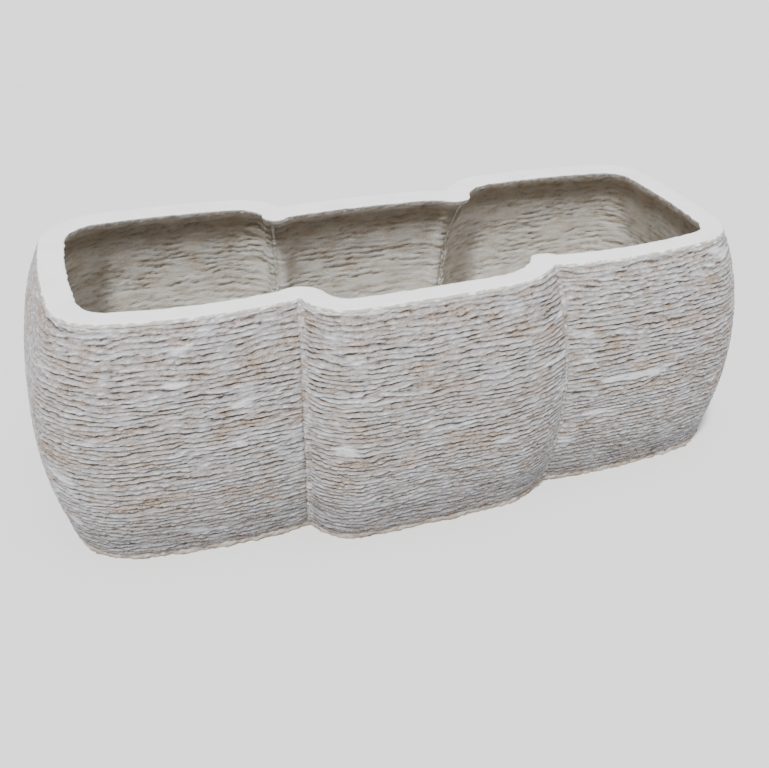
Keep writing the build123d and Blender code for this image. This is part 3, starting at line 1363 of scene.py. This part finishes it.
@dataclass
class Rim:
    """Trowelled screed along the top of all the walls, laid over their upper edge.

    Whiteness holds one value for each line of the section, from the outside over the top.
    """

    walls: tuple[Wall, ...]
    node: str = "rim_screed"
    name: str = "screed_rim"
    seed: int = 900
    step: float = 2.0 * MM
    lean_rows: int = 5
    base: float = 197 * MM
    top: float = 200 * MM
    ease: float = 0.9 * MM
    skim: float = 0.1 * MM
    wave: float = 1.5 * MM
    wave_shares: tuple[float, float] = (0.6, 0.5)
    chip: float = 1.6 * MM
    drip: float = 1.0 * MM
    drip_level: float = 0.45
    rough: float = 1.3 * MM
    sag: float = 0.35 * MM
    sag_shares: tuple[float, float] = (0.25, 0.5)
    sag_across: float = 14 * MM
    across: int = 7
    lap: float = 1.0 * MM
    outer_hems: tuple[float, float] = (1.7 * MM, 0.5 * MM)
    outer_bends: tuple[tuple[float, float], ...] = ((0.45, 0.3), (0.2, 0.9))
    outer_start: float = 2.2
    inner_end: float = 2.0
    inner_bend: tuple[float, float] = (0.4, 0.6)
    inner_hem: float = 0.3 * MM
    inner_chips: float = 0.5
    inner_lap: tuple[float, float] = (2.5 * MM, 2.4 * MM)
    core: float = 6 * MM
    torn: float = 1.4
    torn_below: float = 0.6
    whiteness: tuple[float, ...] = (
        *(0, 0.0, 0.05, 0.1, 0.2, 0.5, 0.9),
        *(1, 1, 1, 1, 1, 1, 1),
        *(0.8, 0.4, 0.2, 0.1, 0.1, 0.1),
    )

    def line(self, face: Face) -> tuple[np.ndarray, np.ndarray]:
        """The closed line of one face of the walls at their top, and how it leans inward.

        Args:
            face: Which face.

        Returns:
            Points in plan, and their step in plan for each metre up.
        """
        tops, leans = [], []
        for wall in self.walls:
            length = walked(wall.faces[Face.OUTER][-1, :, :2])[-1]
            count = round(length / self.step)
            rows = wall.faces[face]
            below = rows[-1 - self.lean_rows]
            upper = spaced(rows[-1, :, :2], count)
            tops.append(upper)
            leans.append((upper - spaced(below[:, :2], count)) / (rows[-1, 0, 2] - below[0, 2]))
        return np.concatenate(tops), np.concatenate(leans)

    def row(self, face: Face, z: np.ndarray | float, setback: np.ndarray | float) -> np.ndarray:
        """One line of points on a side of the rim.

        Args:
            face: Which side.
            z: Its height.
            setback: How far it is set back into the rim.

        Returns:
            Points, one for each place along the rim.
        """
        line, lean = self.lines[face]
        height = np.broadcast_to(z, self.along.shape)
        over = np.maximum(height - self.base, 0)[:, None]
        low = 1 - rise(height, self.top - self.ease, self.top)
        setback = setback + self.rough * low * np.abs(drawn(self.seed, RimNoise.ROUGH, self.along, height))
        away = outward(line, closed=True)
        plan = line + lean * over - face.value * away * np.broadcast_to(setback, height.shape)[:, None]
        return np.concatenate([plan, height[:, None]], axis=1)

    def section(self) -> np.ndarray:
        """The lines of the rim's section, from the outside over the top and back underneath.

        Returns:
            Points, lines by places by three.
        """
        flat = np.zeros_like(self.along)
        wave, ragged, chips, drips = (
            drawn(self.seed, noise, self.along, flat)
            for noise in (RimNoise.WAVE, RimNoise.RAGGED, RimNoise.CHIPS, RimNoise.DRIPS)
        )
        long_share, short_share = self.wave_shares
        wave = self.wave * (long_share * np.abs(wave) + short_share * np.abs(ragged))
        chips = self.chip * chips
        drips = self.drip * np.clip(self.drip_level + drips, 0, 1)
        shoulder = self.top - self.ease
        first_hem, second_hem = self.outer_hems
        rows = [
            self.row(Face.OUTER, self.base - drips - self.lap, first_hem),
            self.row(Face.OUTER, self.base - drips, second_hem),
        ]
        for z in (self.base, (self.base + shoulder) / 2, shoulder):
            rows.append(self.row(Face.OUTER, z, self.skim + wave))
        for down, back in self.outer_bends:
            rows.append(self.row(Face.OUTER, self.top - down * self.ease, back * self.ease + wave))
        start = self.row(Face.OUTER, self.top, self.outer_start * self.ease + wave)
        end = self.row(Face.INNER, self.top, self.inner_end * self.ease + chips)
        usual, uneven = self.sag_shares
        for share in np.linspace(0, 1, self.across):
            line = start + (end - start) * share
            dip = drawn(self.seed, RimNoise.DIP, self.along, flat + share * self.sag_across)
            line[:, 2] = self.top - self.sag * (usual + uneven * np.abs(dip)) - self.skim
            rows.append(line)
        down, back = self.inner_bend
        lower, tucked = self.inner_lap
        return np.stack(
            [
                *rows,
                self.row(Face.INNER, self.top - down * self.ease, back * self.ease + chips),
                self.row(Face.INNER, shoulder, self.skim + chips),
                self.row(Face.INNER, self.base - self.lap, self.inner_hem + self.inner_chips * chips),
                self.row(Face.INNER, self.base - lower, tucked),
                self.row(Face.INNER, self.base - self.lap, self.core),
                self.row(Face.OUTER, self.base - self.lap, self.core),
            ]
        )

    def build(self, material: bpy.types.Material) -> bpy.types.Object:
        """Makes the rim as one closed mesh.

        Args:
            material: Its finish.

        Returns:
            The object.
        """
        self.lines = {face: self.line(face) for face in Face}
        self.along = walked(self.lines[Face.OUTER][0])
        section = self.section()
        s, z = np.broadcast_arrays(self.along, section[:, :, 2])
        white = np.array(self.whiteness)[:, None]
        torn = self.torn * np.abs(drawn(self.seed, RimNoise.TORN, s, z)) * (white < self.torn_below)
        skin = Skin(self.name)
        index = skin.grid(section, relief=np.clip(white + torn, 0, 1))
        index = np.concatenate([index, index[:, :1]], axis=1)
        skin.quads(np.concatenate([index, index[:1]]))
        return skin.piece(material, Slot.SCREED, [self.node])


@dataclass
class Foot:
    """Ragged edge of the floor slab, where the walls stand on it.

    Each line of the profile gives its height, its setback, and how loose the concrete is there.
    """

    node: str = "floor_slab"
    name: str = "foot_edge"
    seed: int = 1300
    cut_level: float = 2.5 * MM
    step: float = 1.3 * MM
    depth: float = 16 * MM
    crumb: float = 3.2 * MM
    crumb_shares: tuple[float, float] = (0.9, 0.7)
    crumb_height: float = 0.5 * MM
    relief: tuple[float, float] = (0.6, 0.5)
    core_relief: float = 0.5
    profile: tuple[tuple[float, float, float], ...] = (
        (0.0, 1.6 * MM, 0.6),
        (0.9 * MM, 0.9 * MM, 0.9),
        (2.0 * MM, 0.7 * MM, 1.0),
        (3.1 * MM, 0.9 * MM, 1.0),
        (4.2 * MM, 1.2 * MM, 0.9),
        (5.4 * MM, 1.9 * MM, 0.7),
        (6.8 * MM, 3.4 * MM, 0.2),
    )

    def build(self, material: bpy.types.Material) -> bpy.types.Object:
        """Makes the edge as one closed ring.

        Args:
            material: Its finish.

        Returns:
            The object.
        """
        loop = LevelCuts(self.node).loops(self.cut_level)[0]
        loop = np.concatenate([loop, loop[:1]])
        line = spaced(loop, round(walked(loop)[-1] / self.step))[:-1]
        normal = outward(line, closed=True)
        along = walked(line)
        fine, coarse = self.crumb_shares
        usual, uneven = self.relief
        rows, heights = [], []
        for z, setback, loose in self.profile:
            level = np.full_like(along, z)
            crumbs = drawn(self.seed, FloorNoise.CRUMBS, along, level)
            chunks = drawn(self.seed, FloorNoise.CHUNKS, along, level)
            out = self.crumb * loose * (fine * crumbs + coarse * chunks) - setback
            low = np.clip(level + self.crumb_height * crumbs * (z > 0), 0, None)
            rows.append(np.column_stack([line + normal * out[:, None], low]))
            heights.append(np.clip(usual + uneven * crumbs, 0, 1))
        for z in (self.profile[-1][0], 0.0):
            rows.append(np.column_stack([line - normal * self.depth, np.full_like(along, z)]))
            heights.append(np.full_like(along, self.core_relief))
        skin = Skin(self.name)
        index = skin.grid(np.stack(rows), relief=np.stack(heights))
        index = np.concatenate([index, index[:, :1]], axis=1)
        skin.quads(np.concatenate([index, index[:1]]))
        return skin.piece(material, Slot.CONCRETE, [self.node])


@dataclass
class Bed:
    """A piece inside the planter that keeps its packed form, with a rough surface."""

    node: str
    name: str
    slot: Slot
    seed: int
    voxel: float = 2.4 * MM
    rough: float = 0.7 * MM
    rough_share: float = 0.6
    lip_height: float = 6 * MM
    lip_shares: tuple[float, float] = (0.98, 0.955)
    ground: float = MM
    off_ground: float = 0.4 * MM
    relief: tuple[float, float] = (0.62, 0.45)

    def build(self, material: bpy.types.Material) -> bpy.types.Object:
        """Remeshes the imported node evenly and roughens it.

        Args:
            material: Its finish.

        Returns:
            The object.
        """
        source = bpy.data.objects.new("even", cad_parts[self.node].data.copy())
        bpy.context.scene.collection.objects.link(source)
        remesh = source.modifiers.new("even", "REMESH")
        remesh.mode = "VOXEL"
        remesh.voxel_size = self.voxel
        graph = bpy.context.evaluated_depsgraph_get()
        mesh = bpy.data.meshes.new_from_object(source.evaluated_get(graph))
        bpy.data.objects.remove(source)
        mesh.name = self.name
        points = np.empty(3 * len(mesh.vertices))
        mesh.vertices.foreach_get("co", points)
        points = points.reshape(-1, 3)
        x, y, z = points.T
        low = 1 - rise(z, self.lip_height - MM, self.lip_height)
        x_share, y_share = self.lip_shares
        points[:, 0] = x * (1 - low * (1 - x_share))
        points[:, 1] = y * (1 - low * (1 - y_share))
        lumps = drawn(self.seed, FloorNoise.LUMPS, x, y)
        waves = drawn(self.seed, FloorNoise.WAVES, x, y)
        lift = self.rough * self.rough_share * (lumps + waves)
        points[:, 2] = np.where(z < self.ground, self.off_ground, z + lift)
        mesh.vertices.foreach_set("co", points.ravel())
        usual, uneven = self.relief
        layer = mesh.attributes.new("relief", "FLOAT", "POINT")
        layer.data.foreach_set("value", np.clip(usual + uneven * lumps, 0, 1).astype(np.float32))
        return settled(self.name, mesh, material, [self.node])


@dataclass
class Planter:
    """The whole planter, built from its foot to its rim."""

    joint_crest: tuple[float, ...] = (0.50, 0.50, 0.515)
    cove_voxel: float = 1.8 * MM

    def build(self) -> list[bpy.types.Object]:
        """Builds and dresses every piece.

        Returns:
            The pieces.
        """
        concrete = TornConcrete().material()
        mortar = SmearedMortar().material()
        joint_mortar = replace(TornConcrete(), name="joint_mortar", crest=self.joint_crest).material()
        crumbled = CrumbledFoot().material()
        left = Wall("left_wall", "left_slabs", 11)
        front = Wall("front_wall", "front_slab", 53)
        right = Wall("right_wall", "right_slabs", 97)
        back = Wall("back_wall", "back_slab", 151)
        walls = (left, front, right, back)
        pieces = [
            Foot().build(crumbled),
            Bed("floor_slab", "floor_bed", Slot.CONCRETE, 1500).build(crumbled),
            Bed("floor_cove", "cove_fillet", Slot.MORTAR, 1600, voxel=self.cove_voxel).build(mortar),
        ]
        for wall in walls:
            wall.cut()
            pieces.append(wall.build(concrete))
        joints = (
            Joint("front_left_seam", "front_left_mortar", left, front, 401, 3 * MM, 9 * MM),
            Joint("front_right_seam", "front_right_mortar", front, right, 431, 3 * MM, 5 * MM),
            Joint("back_right_seam", "back_right_mortar", right, back, 461, 6 * MM, 5 * MM),
            Joint("back_left_seam", "back_left_mortar", back, left, 491, 5 * MM, 6 * MM),
        )
        pieces += [joint.build(joint_mortar) for joint in joints]
        pieces.append(Rim(walls).build(TrowelledScreed().material()))
        return pieces


@dataclass
class Studio:
    """Pale floor, soft light, and a camera where the photograph was taken.

    Each lamp has a name, a place seen from the planter, a width in degrees, and a strength.
    """

    camera_place: tuple[float, float, float] = (-216.0 * MM, -690.6 * MM, 509.9 * MM)
    pitch: float = 32.0
    yaw: float = 17.05
    roll: float = -0.417
    focal_pixels: float = 959.2
    frame_pixels: float = 769.0
    sensor: float = 36.0
    floor_size: float = 7.0
    floor_colour: tuple[float, ...] = (0.80, 0.80, 0.79)
    floor_cloud: float = 0.4
    floor_darker: float = 0.97
    floor_roughness: tuple[float, float] = (0.8, 0.1)
    sky: tuple[float, ...] = (0.93, 0.95, 1.0)
    sky_strength: float = 0.42
    lamps: tuple[tuple[str, tuple[float, ...], float, float], ...] = (
        ("key", (-0.35, -0.62, 1.48), 8.0, 5.5),
        ("top", (0.2, -0.2, 1.9), 60.0, 0.9),
    )

    def camera(self) -> None:
        """Places the camera."""
        pitch, yaw, roll = (math.radians(angle) for angle in (self.pitch, self.yaw, self.roll))
        forward = Vector(
            (math.sin(yaw) * math.cos(pitch), math.cos(yaw) * math.cos(pitch), -math.sin(pitch))
        )
        level = Vector((math.cos(yaw), -math.sin(yaw), 0))
        down = forward.cross(level)
        right = level * math.cos(roll) + down * math.sin(roll)
        below = down * math.cos(roll) - level * math.sin(roll)
        turn = Matrix((right, -below, -forward)).transposed()
        data = bpy.data.cameras.new("camera")
        data.sensor_fit = "HORIZONTAL"
        data.sensor_width = self.sensor
        data.lens = self.sensor * self.focal_pixels / self.frame_pixels
        made = bpy.data.objects.new("camera", data)
        made.matrix_world = Matrix.Translation(self.camera_place) @ turn.to_4x4()
        bpy.context.scene.collection.objects.link(made)
        bpy.context.scene.camera = made

    def lamp(self, name: str, place: tuple[float, ...], spread: float, strength: float) -> None:
        """Hangs a soft light so far off that it lights the whole floor alike.

        Args:
            name: Name of the light.
            place: Where it hangs, seen from the planter.
            spread: Its width in degrees, seen from the planter.
            strength: Its strength.
        """
        data = bpy.data.lights.new(name, "SUN")
        data.angle = math.radians(spread)
        data.energy = strength
        made = bpy.data.objects.new(name, data)
        made.rotation_mode = "QUATERNION"
        made.rotation_quaternion = (-Vector(place)).to_track_quat("-Z", "Y")
        bpy.context.scene.collection.objects.link(made)

    def floor(self) -> None:
        """Lays the floor."""
        half = self.floor_size / 2
        mesh = bpy.data.meshes.new("floor")
        corners = [(-half, -half, 0), (half, -half, 0), (half, half, 0), (-half, half, 0)]
        mesh.from_pydata(corners, [], [(0, 1, 2, 3)])
        shader = Shader("pale_floor")
        cloud = shader.speckle(self.floor_cloud, 2.0)
        darker = tuple(self.floor_darker * part for part in self.floor_colour)
        colour = shader.mix(cloud, self.floor_colour, darker)
        rough, rougher = self.floor_roughness
        mesh.materials.append(shader.close(colour, rough + cloud * rougher, cloud, 0.0))
        made = bpy.data.objects.new("floor", mesh)
        bpy.context.scene.collection.objects.link(made)

    def light(self) -> None:
        """Lights the stage."""
        world = bpy.data.worlds.new("studio")
        world.use_nodes = True
        background = world.node_tree.nodes["Background"]
        background.inputs["Color"].default_value = opaque(self.sky)
        background.inputs["Strength"].default_value = self.sky_strength
        bpy.context.scene.world = world
        for name, place, spread, strength in self.lamps:
            self.lamp(name, place, spread, strength)

    def build(self) -> None:
        """Sets the whole stage."""
        self.camera()
        self.floor()
        self.light()


def main() -> None:
    """Builds the stage and the planter, and reports each piece."""
    logging.basicConfig(level=logging.INFO, format="%(name)s %(message)s")
    Studio().build()
    for piece in Planter().build():
        log.info("built %s", piece.name)


if __name__ == "__main__":
    main()
